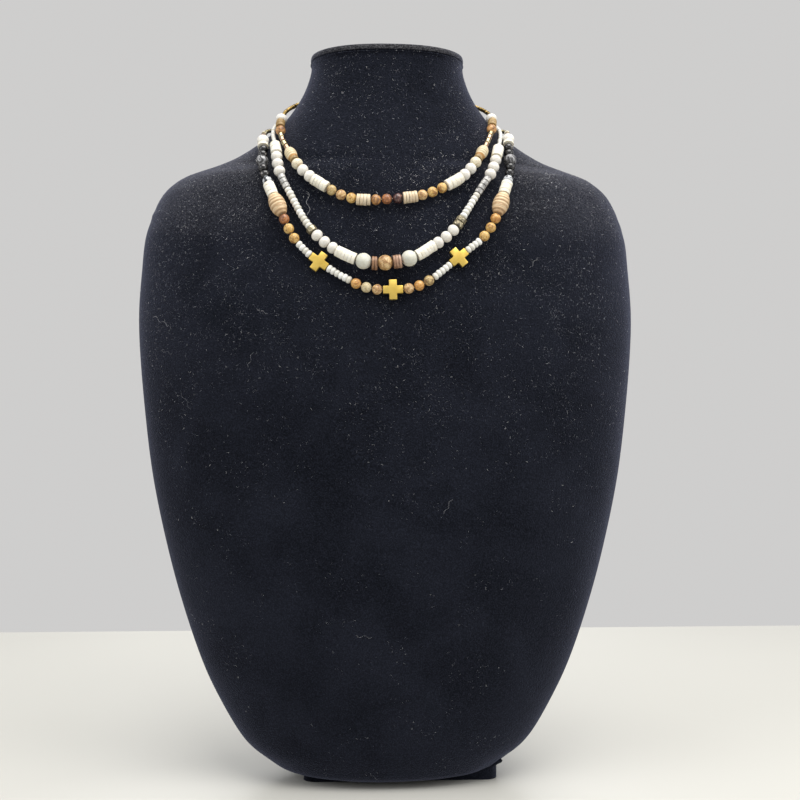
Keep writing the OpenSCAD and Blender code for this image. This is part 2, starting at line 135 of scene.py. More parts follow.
# %% Shader sums that read as maths
class Wire:
    """A node's output. Sums on wires add Math nodes to the same material."""

    def __init__(self, socket):
        self.socket = socket
        self.tree = socket.id_data

    def node(self, kind, settings=None, values=None, out=0):
        """Adds a node: first its settings, then the values or wires of its sockets."""
        made = self.tree.nodes.new(kind)
        for name, value in (settings or {}).items():
            if name == "stops":
                ramp = made.color_ramp
                ramp.elements.remove(ramp.elements[1])
                ramp.elements[0].position, ramp.elements[0].color = value[0][0], (*value[0][1], 1)
                for place, colour in value[1:]:
                    ramp.elements.new(place).color = (*colour, 1)
            else:
                setattr(made, name, value)
        for name, value in (values or {}).items():
            if isinstance(value, Wire):
                self.tree.links.new(value.socket, made.inputs[name])
            else:
                made.inputs[name].default_value = value
        return Wire(made.outputs[out])

    def sum(self, operation, first, second):
        return self.node("ShaderNodeMath", {"operation": operation}, {0: first, 1: second})

    def __add__(self, other):
        return self.sum("ADD", self, other)

    def __sub__(self, other):
        return self.sum("SUBTRACT", self, other)

    def __rsub__(self, other):
        return self.sum("SUBTRACT", other, self)

    def __mul__(self, other):
        return self.sum("MULTIPLY", self, other)

    def __rmul__(self, other):
        return self.sum("MULTIPLY", other, self)

    def noise(self, scale, detail=3, distortion=0.0):
        """Cloudy noise from 0 to 1, with scale blotches to a metre."""
        return self.node("ShaderNodeTexNoise", None, {
            "Vector": self, "Scale": scale, "Detail": detail, "Distortion": distortion})

    def stretched(self, *scale):
        """The same place with its sides scaled, for a pattern that is longer one way."""
        return self.node("ShaderNodeMapping", None, {0: self, "Scale": scale})

    def apart_from(self, level):
        """How far this wire is above or below a level."""
        return self.node("ShaderNodeMath", {"operation": "ABSOLUTE"}, {0: self - level})

    def cells(self, scale):
        """The distance to the nearest of many scattered points."""
        return self.node("ShaderNodeTexVoronoi", None, {"Vector": self, "Scale": scale})

    def between(self, low, high):
        """0 below low, 1 above high, and a soft step between."""
        return self.node("ShaderNodeMapRange", {"interpolation_type": "SMOOTHSTEP"}, {
            "Value": self, "From Min": low, "From Max": high})

    def ramp(self, *stops):
        """Colours along the values from 0 to 1."""
        return self.node("ShaderNodeValToRGB", {"stops": stops}, {"Fac": self})

    def blend(self, low, high):
        """The colour low where this wire is 0, and high where it is 1."""
        low, high = [c if isinstance(c, Wire) else (*c, 1) for c in (low, high)]
        return self.node("ShaderNodeMix", {"data_type": "RGBA"}, {0: self, 6: low, 7: high}, 2)

    def bump(self, height):
        """A normal that this wire raises by up to height metres."""
        return self.node("ShaderNodeBump", None, {"Height": self, "Distance": height})


def new_finish(name, **fixed):
    """A material, its shader with the fixed values set, and the place on the surface as a wire."""
    material = bpy.data.materials.new(name)
    material.use_nodes = True
    shader = material.node_tree.nodes["Principled BSDF"]
    for socket, value in fixed.items():
        shader.inputs[socket.replace("_", " ")].default_value = value
    place = material.node_tree.nodes.new("ShaderNodeTexCoord").outputs["Object"]
    return material, shader, Wire(place)


def feed(shader, **wires):
    """Links wires to the shader's sockets."""
    for socket, wire in wires.items():
        shader.id_data.links.new(wire.socket, shader.inputs[socket.replace("_", " ")])


def attribute(place, name):
    """A number that a piece's own points carry."""
    return place.node("ShaderNodeAttribute", {"attribute_name": name}, None, 2)


# %% [markdown]
# ## The velvet
# Black velvet is nearly black where you look straight into the pile, and lifts to a bluish haze
# where the pile is seen from its side. A sheen layer does just that.
# The nap lies a little differently from place to place, which a slow noise shows as faint clouds,
# and a fine noise gives the grain of the pile. Where the velvet faces up it is paled with a
# speckled grey, partly for the dust there and partly as painted light from above and painted
# sheen, so every point will carry a number that says how much.

# %% Make the velvet finish
velvet, shader, place = new_finish(
    "velvet", Roughness=1.0, Specular_IOR_Level=0.08, Sheen_Weight=0.27, Sheen_Roughness=0.40,
    Sheen_Tint=(0.53, 0.57, 0.82, 1))
clouds = place.noise(26, 4, 0.6)
grain = place.noise(1500, 3, 0.4)
pile = (clouds.between(0.3, 0.7) * 0.3 + grain.between(0.38, 0.72) * 0.7).blend(
    (0.0012, 0.0018, 0.0036), (0.0145, 0.0168, 0.0260))
# the pale speckled grey is partly lint and partly painted light: painted top light on the shoulders
# and painted sheen round the cap's rim
dusty_and_lit = grain.between(0.40, 0.64).blend((0.010, 0.010, 0.012), (0.085, 0.085, 0.090))
feed(shader, Base_Color=attribute(place, "dust").blend(pile, dusty_and_lit), Normal=grain.bump(0.5 * MM))
print("velvet made")

# %% [markdown]
# The bust's solid is a loft of flat faces. A copy of it is welded, the edges that turn by more than
# 75 degrees are creased so that they stay, and a Subdivision Surface rounds everything else to the
# smooth padded form under the fabric. Subdividing draws every bulge in, by 2 mm at the shoulders.
# So the points are first moved out by what smoothing takes away. That overshoots round the pocket
# of the foot, where the edges are short, and leaves its rim ragged.

# %% Round the body of the bust
def crease_hard_edges(piece, sharper_than, value):
    """Marks the edges that turn by more than an angle, so that subdividing keeps them."""
    pick(piece)
    bpy.ops.object.mode_set(mode="EDIT")
    bpy.ops.mesh.select_mode(type="EDGE")
    bpy.ops.mesh.select_all(action="DESELECT")
    bpy.ops.mesh.edges_select_sharp(sharpness=math.radians(sharper_than))
    bpy.ops.transform.edge_crease(value=value)
    bpy.ops.object.mode_set(mode="OBJECT")


def brace(piece, passes):
    """Moves the points out until the subdivided form passes through where they were."""
    wanted = [point.co.copy() for point in piece.data.vertices]
    piece.modifiers.new("Trial", "SUBSURF").levels = 1
    for _ in range(passes):
        rounded = piece.evaluated_get(bpy.context.evaluated_depsgraph_get()).data.vertices
        misses = [goal - rounded[i].co for i, goal in enumerate(wanted)]
        for point, miss in zip(piece.data.vertices, misses):
            point.co += miss * 0.9        # a little less than the miss, so that it settles
        piece.data.update()
    piece.modifiers.clear()
    print(f"{piece.name}: {1000 * max(miss.length for miss in misses):.2f} mm off at most")


def part_way(value, start, reach):
    """0 up to a start, 1 from start + reach on, and straight between."""
    return min(1, max(0, (value - start) / reach))


def gather_dust_and_painted_light(piece, most, upright, beside):
    """Stores how much dust and painted light lie on each point: most where it faces up and none
    where it is upright, or where it is nearer to the middle than beside."""
    dust = piece.data.attributes.new("dust", "FLOAT", "POINT")
    dust.data.foreach_set("value", [
        most * part_way(point.normal.z, upright, 0.6) * part_way(abs(point.co.x), beside, 30 * MM)
        for point in piece.data.vertices])


body = copy_solid("bust_body", "velvet_body")
crease_hard_edges(body, 75, 0.75)
brace(body, 4)
apply_modifier(body, "SUBSURF", levels=2, render_levels=2)
# where the shoulders face up they take the pale grey: lint and painted top light
gather_dust_and_painted_light(body, 0.7, 0.15, 42 * MM)
finish_piece(body, "velvet_body", velvet, ["bust_body"], 60)

# %% [markdown]
# The oval cap closes the neck. Its fabric is glued over a thin board, so its rim is soft: the
# same steps, with a weaker crease. The foot is a wooden block, flocked like the body, with edges
# that are only eased, so it gets a bevel instead.

# %% Round the cap and ease the foot
def ease_edges(piece, width, segments, sharper_than):
    """Bevels the edges that turn by more than an angle."""
    apply_modifier(piece, "BEVEL", width=width, segments=segments, limit_method="ANGLE",
                   angle_limit=math.radians(sharper_than))


cap = copy_solid("bust_cap", "velvet_cap")
crease_hard_edges(cap, 40, 0.55)
apply_modifier(cap, "SUBSURF", levels=2, render_levels=2)
# the cap's top and rim take the pale grey: lint and painted sheen
gather_dust_and_painted_light(cap, 0.9, -0.6, -30 * MM)
finish_piece(cap, "velvet_cap", velvet, ["bust_cap"], 60)

foot = copy_solid("bust_foot", "velvet_foot")
ease_edges(foot, 1.2 * MM, 3, 50)
finish_piece(foot, "velvet_foot", velvet, ["bust_foot"], 50)

# %% [markdown]
# ## The lint
# Velvet catches lint. In the photograph the neck, the shoulders and the upper chest are full of
# short pale fibres, and the lower part has few. Painted specks would blur in an export, so one
# bent fibre is modelled, from a triangle that is extruded along a shallow arch, and copied. A few
# hairs among them are longer and curl more.

# %% Model a fibre and a hair
def lint_fibre(thickness, steps):
    """A bent fibre with three sides, extruded step by step along X."""
    bpy.ops.object.select_all(action="DESELECT")
    bpy.ops.mesh.primitive_circle_add(
        vertices=3, radius=thickness / 2, fill_type="NGON", location=(-0.5, 0, 0.0),
        rotation=(0, math.pi / 2, 0))
    made = bpy.context.object
    bpy.ops.object.transform_apply()
    bpy.ops.object.mode_set(mode="EDIT")
    bpy.ops.mesh.select_all(action="SELECT")
    for step in steps:
        bpy.ops.mesh.extrude_region_move(TRANSFORM_OT_translate={"value": step})
    bpy.ops.mesh.select_all(action="SELECT")
    bpy.ops.mesh.normals_make_consistent(inside=False)
    bpy.ops.object.mode_set(mode="OBJECT")
    return made


fibre = lint_fibre(0.10, [(0.32, 0.16, 0.04), (0.30, 0.14, 0.0), (0.22, -0.18, -0.04)])
hair = lint_fibre(0.011, [(1 / 14, 0.05 * math.cos(step * 0.75 + 0.4), 0) for step in range(14)])
print(f"a fibre has {len(fibre.data.polygons)} faces, a hair {len(hair.data.polygons)}")

# %% [markdown]
# Copies of one modelled shape come up again for the seeds and the discs, so the copying is one
# helper: each copy gets its own mesh, its own turn and size and a number of its own between 0 and
# 1 for its colour. The copies are then joined to one piece. Lint is copied twice over: six fibres
# make a loose pinch, and the pinches are strewn, which is quicker than ten thousand copies.

# %% Copy a modelled shape to many places
def join(pieces):
    """Joins pieces to one."""
    pick(pieces[0])
    for one in pieces:
        one.select_set(True)
    bpy.ops.object.join()
    return bpy.context.object


def string_up(shape, places, numbers=None):
    """Copies of a shape, one at each matrix, joined to one new piece."""
    copies = []
    for index, place in enumerate(places):
        one = shape.copy()
        one.data = shape.data.copy()
        one.data.transform(place)
        if numbers:
            own = one.data.attributes.new("own_number", "FLOAT", "POINT")
            own.data.foreach_set("value", [numbers[index]] * len(one.data.vertices))
        bpy.context.scene.collection.objects.link(one)
        copies.append(one)
    return join(copies)


def frame_at(middle, along, about=0.0, size=(1, 1, 1), lean=(0, 0)):
    """The matrix that stands a shape's Z axis along a direction, rolled, leaned and sized."""
    turn = Vector(along).to_track_quat("Z", "Y").to_matrix().to_4x4()
    lean = Matrix.Rotation(lean[0], 4, "X") @ Matrix.Rotation(lean[1], 4, "Y")
    return (Matrix.Translation(middle) @ turn @ lean @ Matrix.Rotation(about, 4, "Z")
            @ Matrix.Diagonal((*size, 1)))


# %% [markdown]
# Where does lint lie? Points are drawn on the faces of the velvet, larger faces more often. The
# chance of a fibre is small on the lower part, grows up to the shoulders, is halved on the neck and
# fades towards the back, and fibres keep to loose clumps. Every point of a fibre is then set down
# on the velvet, so that none hangs in the air.

# %% Scatter the lint
draw = random.Random(7)
CLUMPS, CLUMP_REACH = 90, 0.020
LINT_STARTS, LINT_GROWS, NECK_STARTS = 0.14, 0.16, 0.335        # heights in metres
LINT_ENDS, LINT_FADES = 0.03, 0.05                              # from front to back


def lint_places(count):
    """Places on the velvet and the direction straight out of it there."""
    faces = [f for f in body.data.polygons if f.normal.z > -0.5]
    chances = np.cumsum([f.area for f in faces])
    clumps = [Vector((draw.uniform(-0.13, 0.13), draw.uniform(-0.05, 0.05), draw.uniform(0, 0.39)))
              for _ in range(CLUMPS)]
    found = []
    while len(found) < count:
        face = faces[int(np.searchsorted(chances, draw.uniform(0, chances[-1])))]
        spot = face.center + 0.4 * math.sqrt(face.area) * Vector(
            (draw.uniform(-1, 1), draw.uniform(-1, 1), draw.uniform(-1, 1)))
        near_clump = min((spot - clump).length for clump in clumps) < CLUMP_REACH
        wanted = 0.06 + 0.94 * part_way(spot.z, LINT_STARTS, LINT_GROWS) ** 1.4
        wanted *= 0.5 if spot.z > NECK_STARTS else 1
        wanted *= part_way(-spot.y, -LINT_ENDS, LINT_FADES)
        if draw.random() < wanted * (1 if near_clump else 0.5):
            found.append((spot, face.normal.copy()))
    return found


def settle(piece, onto, lift):
    """Sets each point of a piece down on a surface, and keeps what it stood above its lowest."""
    surface = BVHTree.FromObject(onto, bpy.context.evaluated_depsgraph_get())
    for point in piece.data.vertices:
        spot, normal, _, gap = surface.find_nearest(point.co)
        point.co = spot + normal * min(gap, lift)


def laid(spot, normal, size):
    """The matrix that lays a fibre flat on the velvet, turned at random."""
    turn = Matrix.Rotation(draw.uniform(0, math.tau), 3, normal)
    along = turn @ normal.orthogonal().normalized()
    axes = Matrix((along, normal.cross(along), normal)).transposed().to_4x4()
    return Matrix.Translation(spot) @ axes @ Matrix.Diagonal((*(side * MM for side in size), 1))


def pinch_of_lint():
    """Six bent fibres that lie close together, in millimetres."""
    places = []
    for _ in range(6):
        long = draw.choice((0.3, 0.4, 0.5, 0.7, 1.2)) * draw.uniform(0.8, 1.2)
        thick = draw.uniform(0.7, 1.2)
        places.append(
            Matrix.Translation((draw.gauss(0, 2.6), draw.gauss(0, 2.6), 0))
            @ Matrix.Rotation(draw.uniform(0, math.tau), 4, "Z")
            @ Matrix.Diagonal((long, thick, thick, 1)))
    return string_up(fibre, places, [draw.random() for _ in places])


def strew_lint(count, kinds):
    """Pinches of lint of some kinds, laid at places all over the velvet, as one piece."""
    spots, strewn = lint_places(count), []
    for kind in range(kinds):
        pinch = pinch_of_lint()
        places = [laid(spot, normal, (1, draw.choice((-1, 1)), 1))
                  for spot, normal in spots[kind::kinds]]
        strewn.append(string_up(pinch, places))
        bpy.data.objects.remove(pinch)
    strewn = join(strewn)
    settle(strewn, body, 0.22 * MM)
    return strewn


HAIRS, HAIR_HEIGHT = 16, 9      # a hair is modelled 0.011 thick, and 9 makes that 0.1 mm
lint = [strew_lint(1600, 10) for _ in range(2)]
hair_spots, hair_lengths = lint_places(HAIRS), [draw.uniform(4, 13) for _ in range(HAIRS)]
hair_places = [laid(spot, normal, (long, long, HAIR_HEIGHT))
               for (spot, normal), long in zip(hair_spots, hair_lengths)]
hairs = string_up(hair, hair_places, [draw.uniform(0.5, 0.9) for _ in hair_places])
settle(hairs, body, 0.15 * MM)
bpy.data.objects.remove(fibre)
bpy.data.objects.remove(hair)

# %% Give the lint its colour
lint_finish, shader, place = new_finish("lint", Roughness=0.9)
feed(shader, Base_Color=attribute(place, "own_number").ramp(
    (0.0, (0.07, 0.07, 0.09)), (0.5, (0.20, 0.20, 0.23)), (0.85, (0.50, 0.50, 0.53)),
    (1.0, (0.85, 0.85, 0.85))))
for name, piece in zip(("velvet_lint", "velvet_fine_lint"), lint):
    finish_piece(piece, name, lint_finish, [], 80)
finish_piece(hairs, "velvet_hairs", lint_finish, [], 80)

# %% [markdown]
# ## Stone
# Most of the beads are picture jasper: a fine grained stone whose colour runs from cream over tan
# and orange to deep brown, in clouds with darker grains and thin veins. No two beads are alike.
# The pattern is solid, as in the stone: it is read at the place in space, so each bead is cut out
# of another part of it, and one recipe with three colours makes every sort of jasper.

# %% Make the jaspers
def jasper(name, pale, middle, deep, gloss=0.42, busy=0.5):
    """A mottled stone. busy shifts it from its pale to its deep colour."""
    stone, shader, place = new_finish(name, IOR=1.54)
    shape = place.noise(430, 5, 1.1)
    veins = 1 - place.noise(330, 3, 2.2).apart_from(0.5).between(0.0, 0.035)
    grains = 1 - place.cells(1500).between(0.16, 0.34)
    clouds = (shape + busy - 0.5).ramp((0.38, pale), (0.51, middle), (0.63, deep))
    dark = [0.4 * c for c in deep]
    marks = 0.6 * veins + 0.6 * grains * place.noise(240, 2).between(0.42, 0.56)
    feed(shader, Base_Color=marks.blend(clouds, dark),
         Roughness=shape.between(0.3, 0.7) * 0.16 + (gloss - 0.08),
         Normal=(grains * -0.6 + place.noise(1800, 2)).bump(0.06 * MM))
    return stone


jaspers = {sort: jasper(f"jasper_{sort}", *tones) for sort, tones in {
    "tan": ((0.62, 0.44, 0.22), (0.45, 0.27, 0.105), (0.19, 0.08, 0.035)),
    "orange": ((0.60, 0.37, 0.13), (0.52, 0.25, 0.055), (0.25, 0.10, 0.03), 0.40),
    "gold": ((0.64, 0.45, 0.17), (0.54, 0.32, 0.085), (0.24, 0.11, 0.03), 0.40),
    "brown": ((0.56, 0.30, 0.11), (0.38, 0.19, 0.065), (0.16, 0.07, 0.025), 0.36),
    "red": ((0.42, 0.17, 0.055), (0.27, 0.10, 0.032), (0.12, 0.045, 0.02), 0.34),
    "mahogany": ((0.34, 0.17, 0.12), (0.085, 0.032, 0.026), (0.03, 0.014, 0.013), 0.2, 0.6),
    "olive": ((0.54, 0.42, 0.20), (0.43, 0.30, 0.12), (0.20, 0.12, 0.05), 0.42),
    "cream": ((0.56, 0.48, 0.30), (0.46, 0.36, 0.19), (0.30, 0.19, 0.09), 0.45, 0.38),
    "ivory": ((0.72, 0.66, 0.50), (0.64, 0.54, 0.38), (0.46, 0.34, 0.20), 0.45, 0.40),
}.items()}
print(f"{len(jaspers)} sorts of jasper")

# %% Sort the jasper rounds by colour
choker_colours = ("brown", "olive", "tan", "gold", "brown", "red", "mahogany", "tan", "gold",
                  "gold", "brown")
outer_colours = ("red", "gold", "gold", "orange", "cream", "tan", "tan", "orange", "olive",
                 "gold", "gold", "orange")


def dress(node, finish):
    """Gives a solid whose shape is right a better finish."""
    if nodes[node].material_slots:
        nodes[node].material_slots[0].material = finish
    else:
        nodes[node].data.materials.append(finish)


for strand, colours in (("choker", choker_colours), ("outer", outer_colours)):
    for number, colour in enumerate(colours, 1):
        dress(f"{strand}_jasper_{number}", jaspers[colour])
dress("middle_centre_jasper_1", jaspers["tan"])
print(f"{len(choker_colours) + len(outer_colours) + 1} jasper rounds dressed")

# %% [markdown]
# The white rounds are chalky howlite with faint grey veins. The two large rounds beside the
# middle are frosted agate: light goes in and comes out milky, so they scatter light under the
# surface. The fixed values sit on the shader itself and only the colour varies.

# %% Make the white and frosted stones
def pale_stone(name, colour, vein, gloss, scatter=0.0, mottle=0.3):
    """A nearly white stone with faint veins."""
    stone, shader, place = new_finish(name, Subsurface_Weight=scatter, Subsurface_Scale=1.2 * MM,
                                      Subsurface_Radius=(1.0, 0.9, 0.7))
    veins = 1 - place.noise(210, 4, 2.0).apart_from(0.5).between(0.0, 0.05)
    clouds = place.noise(150, 3)
    warm = clouds.between(0.35, 0.7) * mottle
    feed(shader, Base_Color=(veins * 0.4).blend(warm.blend(colour, vein), vein),
         Roughness=clouds * 0.2 + (gloss - 0.1), Normal=place.noise(1500, 3).bump(0.05 * MM))
    return stone


howlite = pale_stone("howlite", (0.70, 0.68, 0.63), (0.46, 0.42, 0.36), 0.42, 0.12)
frosted = pale_stone("frosted_agate", (0.60, 0.60, 0.53), (0.44, 0.43, 0.36), 0.5, 0.45, 0.6)
for node in ("middle_white_rounds", "outer_big_white_round_1", "outer_big_white_round_2"):
    dress(node, howlite)
for node in ("middle_frosted_round_1", "middle_frosted_round_2"):
    dress(node, frosted)
print("white rounds dressed")

# %% [markdown]
# The black beads of the long strand are polished: deep black, with grey and white clouds in some
# of them. A polish is a low roughness, and the clouds are a noise cut off hard.

# %% Make the black and dark stones
def black_stone(name, ground, cloud, low, high):
    """A polished black stone with pale clouds."""
    stone, shader, place = new_finish(name, IOR=1.6)
    clouds = place.noise(300, 4, 1.5).between(low, high)
    feed(shader, Base_Color=clouds.blend(ground, cloud), Roughness=clouds * 0.2 + 0.08)
    return stone


black = black_stone("black_stone", (0.006, 0.006, 0.007), (0.24, 0.22, 0.21), 0.60, 0.74)
zebra = black_stone("black_and_white_stone", (0.02, 0.02, 0.024), (0.48, 0.50, 0.52), 0.40, 0.48)
for number in (1, 2):
    dress(f"outer_dark_round_{number}", black_stone(
        f"dark_stone_{number}", (0.030, 0.030, 0.032), (0.26, 0.26, 0.27), 0.45, 0.62))
print("dark rounds dressed")

# %% [markdown]
# ## Find each small bead
# Discs, barrels and seeds stand at their own angle on the strand. A solid that was turned on a
# lathe gives its axis away: its points spread equally in two directions and differently in the
# third. So each loose solid's spread is measured, and the odd direction is its axis.

# %% Read places and axes from the solids
def loose_solids(node):
    """The points of each loose solid of a node, as arrays."""
    mesh = bmesh.new()
    mesh.from_mesh(nodes[node].data)
    bmesh.ops.remove_doubles(mesh, verts=mesh.verts, dist=WELD)
    left, solids = set(mesh.verts), []
    while left:
        reached, group = [left.pop()], []
        while reached:
            point = reached.pop()
            group.append(point.co[:])
            for edge in point.link_edges:
                other = edge.other_vert(point)
                if other in left:
                    left.discard(other)
                    reached.append(other)
        solids.append(np.array(group))
    mesh.free()
    return sorted(solids, key=lambda solid: tuple(solid.mean(0)))


def lathe_axis(solid):
    """(middle, axis, length along it, width across it) of a turned solid."""
    middle = (solid.min(0) + solid.max(0)) / 2
    spread, directions = np.linalg.eigh(np.cov((solid - solid.mean(0)).T))
    odd = 0 if spread[1] - spread[0] > spread[2] - spread[1] else 2
    axis = directions[:, odd]
    along = (solid - middle) @ axis
    middle = middle + axis * (along.max() + along.min()) / 2
    across = np.linalg.norm((solid - middle) - np.outer((solid - middle) @ axis, axis), axis=1)
    return Vector(middle), Vector(axis), float(np.ptp(along)), 2 * float(across.max())


for node in ("choker_shell_discs", "middle_brown_discs"):
    found = [lathe_axis(solid) for solid in loose_solids(node)]
    sizes = {(round(width / MM, 1), round(length / MM, 1)) for _, _, length, width in found}
    print(node, len(found), "discs of", sorted(sizes), "mm")

# %% [markdown]
# Some groups hold beads of two sorts. The round beside each cream barrel is a cream jasper among
# white ones, and the round beside the shell discs on the long strand is black and white among
# black ones. A copy of the group then gets two materials, and each face takes the finish of the
# bead that it belongs to.

# %% Give single beads of a group another finish
def two_sorts(piece, finishes, special, reach):
    """The faces within reach of the special places take the second finish."""
    piece.data.materials.clear()
    for finish in finishes:
        piece.data.materials.append(finish)
    for face in piece.data.polygons:
        face.material_index = int(min((face.center - place).length for place in special) < reach)
    return piece


def nearest(node, place):
    """The middle of the loose solid of a node that lies nearest to a place."""
    middles = [lathe_axis(solid)[0] for solid in loose_solids(node)]
    return min(middles, key=lambda middle: (middle - place).length)


for group, barrel, finishes, reach, name, slot in (
        ("choker_white_rounds", "choker_cream_barrel", (howlite, jaspers["ivory"]), 3.4 * MM,
         "choker_howlite_rounds", "white_stone"),
        ("outer_black_rounds", "outer_banded_barrel", (black, zebra), 2.9 * MM,
         "outer_polished_rounds", "black_stone")):
    barrels = [lathe_axis(loose_solids(f"{barrel}_{number}")[0])[0] for number in (1, 2)]
    rounds = two_sorts(copy_solid(group, "rounds"), finishes,
                       [nearest(group, middle) for middle in barrels], reach)
    finish_piece(rounds, name, None, [group], 35)

# %% [markdown]
# ## Discs of shell and wood
# A disc is cut from shell, drilled and tumbled, so its rim is rounded. On the lathe it would be
# one profile turned round, and Spin is Blender's lathe: a small upright rectangle, its corners
# rounded by a bevel, is spun once round the Z axis. It starts at the drilled hole, so the hole
# comes with it. Templates are modelled in millimetres and shrink when they are copied.

# %% Turn a disc
def spin_section(steps):
    """Turns the outline in edit mode once round Z and welds the ring shut."""
    bpy.ops.mesh.select_all(action="SELECT")
    bpy.ops.mesh.delete(type="ONLY_FACE")
    bpy.ops.mesh.select_all(action="SELECT")
    bpy.ops.mesh.spin(steps=steps, angle=math.tau, center=(0, 0, 0), axis=(0, 0, 1))
    bpy.ops.mesh.select_all(action="SELECT")
    bpy.ops.mesh.remove_doubles(threshold=0.0005)
    bpy.ops.mesh.normals_make_consistent(inside=False)
    bpy.ops.object.mode_set(mode="OBJECT")
    return bpy.context.object


def turned_disc(width, length, hole, rounding, segments, steps, inside=True):
    """A drilled disc whose edges are rounded, in millimetres, round the Z axis."""
    wall = (width - hole) / 2
    bpy.ops.object.select_all(action="DESELECT")
    bpy.ops.mesh.primitive_plane_add(
        size=1, location=((width + hole) / 4, 0, 0), rotation=(math.pi / 2, 0, 0))
    bpy.context.object.scale = (wall, length, 1)
    bpy.ops.object.transform_apply()
    pick_points(bpy.context.object, lambda place: inside or place.x > width / 3)
    bpy.ops.mesh.bevel(offset=rounding, segments=segments, affect="VERTICES")
    return spin_section(steps)


HOLE = 1.2
SHELL_SIZE, WOOD_SIZE = (6.0, 1.45), (7.0, 1.1)     # width and thickness of the templates
shell_template = turned_disc(*SHELL_SIZE, HOLE, 0.12, 3, 30)
wood_template = turned_disc(*WOOD_SIZE, HOLE, 0.20, 2, 32)
print([len(t.data.polygons) for t in (shell_template, wood_template)], "faces")

# %% [markdown]
# Tumbled discs are never quite alike or quite square to the thread. Each copy is a little
# thicker or thinner and narrower than its solid, leans by a degree and sits slightly off centre.
# On the two longer strands they sit so close that the seams hardly show.

# %% String the discs
def disc_places(node, template_size, thickness, lean):
    """A matrix for each loose disc of a node, with the small differences of real discs."""
    places = []
    for solid in loose_solids(node):
        middle, axis, length, width = lathe_axis(solid)
        wide = width / template_size[0] * draw.uniform(0.95, 1.0)
        thin = length / template_size[1] * draw.uniform(*thickness)
        off = axis.orthogonal().normalized() * draw.uniform(-0.12, 0.12) * MM
        places.append(frame_at(
            middle + Matrix.Rotation(draw.uniform(0, 6), 3, axis) @ off, axis, draw.uniform(0, 6),
            (wide, wide, thin),
            (math.radians(draw.uniform(-lean, lean)), math.radians(draw.uniform(-lean, lean)))))
    return places


shell, shader, place = new_finish(
    "shell", Subsurface_Weight=0.15, Subsurface_Radius=(1.0, 0.85, 0.6), Subsurface_Scale=1.0 * MM)
own = attribute(place, "own_number")
layers = place.noise(900, 3, 0.5)
feed(shader,
     Base_Color=(layers.between(0.35, 0.75) * 0.4).blend(
         own.ramp((0.0, (0.58, 0.46, 0.31)), (0.3, (0.64, 0.54, 0.40)), (0.6, (0.72, 0.69, 0.58)),
                  (1.0, (0.79, 0.77, 0.70))),
         (0.50, 0.40, 0.25)),
     Roughness=layers * 0.25 + 0.32, Normal=layers.bump(0.08 * MM))

# the two groups at the middle of the choker are tan, and all others nearly white
TAN_REACH = 25 * MM
draw = random.Random(11)
for strand, thickness, lean in (
        ("choker", (1.10, 1.18), 1.2), ("middle", (1.17, 1.21), 0.4), ("outer", (1.17, 1.21), 0.4)):
    node = f"{strand}_shell_discs"
    places = disc_places(node, SHELL_SIZE, thickness, lean)
    tan_ones = [strand == "choker" and abs(place.translation.x) < TAN_REACH for place in places]
    discs = string_up(shell_template, places, [
        draw.uniform(0.0, 0.3) if is_tan else draw.uniform(0.6, 1.0) for is_tan in tan_ones])
    finish_piece(discs, f"{strand}_tumbled_shell", shell, [node])

# %% [markdown]
# The brown discs are thin slices of coconut shell and wood, and those of the choker are of a
# golden wood. The grain runs across each slice, in streaks that are long one way, so the noise is
# stretched before it is read.

# %% String the wooden discs
def sliced_wood(name, *tones):
    """Wood whose tone follows each slice's own number."""
    wood, shader, place = new_finish(name, IOR=1.5)
    streaks = place.stretched(1, 1, 0.3).noise(1100, 4, 0.7)
    ground = attribute(place, "own_number").ramp(*tones)
    dark = [0.35 * c for c in tones[0][1]]
    feed(shader, Base_Color=(streaks.between(0.42, 0.62) * 0.6).blend(ground, dark),
         Roughness=streaks * 0.2 + 0.38, Normal=streaks.bump(0.07 * MM))
    return wood


golden = sliced_wood("golden_wood", (0.0, (0.27, 0.17, 0.06)), (1.0, (0.38, 0.26, 0.11)))
brown_wood = sliced_wood(
    "brown_wood", (0.0, (0.27, 0.14, 0.07)), (0.5, (0.31, 0.17, 0.10)), (1.0, (0.42, 0.27, 0.19)))
for strand, wood in (("choker", golden), ("middle", brown_wood)):
    node = f"{strand}_brown_discs"
    places = disc_places(node, WOOD_SIZE, (1.12, 1.22), 0.6)
    # from left to right the middle strand's discs turn from plain brown to pinkish brown
    discs = string_up(wood_template, places, [n / (len(places) - 1) for n in range(len(places))])
    finish_piece(discs, f"{strand}_sliced_wood", wood, [node])
bpy.data.objects.remove(shell_template)
bpy.data.objects.remove(wood_template)

# %% [markdown]
# ## Barrels
# Two cream barrels sit high on the choker, ribbed all the way round, and two larger banded ones
# on the long strand. A barrel is an oval: an upright circle is stretched, cut along the drilled
# hole and at both ends by Bisect, and spun. The ribs are rings of points that are drawn in.

# %% Turn the barrels
OVAL = 1.22     # how much longer the oval is than the barrel that is cut from it


def turned_barrel(width, length, hole, steps, points):
    """A drilled oval bead, cut flat at its ends, in millimetres, round the Z axis."""
    bpy.ops.object.select_all(action="DESELECT")
    bpy.ops.mesh.primitive_circle_add(
        vertices=points, radius=width / 2, fill_type="NGON", rotation=(math.pi / 2, 0, 0))
    bpy.context.object.scale = (1, OVAL * length / width, 1)   # its own Y stands upright
    bpy.ops.object.transform_apply()
    bpy.ops.object.mode_set(mode="EDIT")
    for spot, way in (((hole / 2, 0, 0), (-1, 0, 0)), ((0, 0, length / 2), (0, 0, 1)),
                      ((0, 0, -length / 2), (0, 0, -1))):
        bpy.ops.mesh.select_all(action="SELECT")
        bpy.ops.mesh.bisect(plane_co=spot, plane_no=way, clear_outer=True, threshold=0.0001)
    return spin_section(steps)


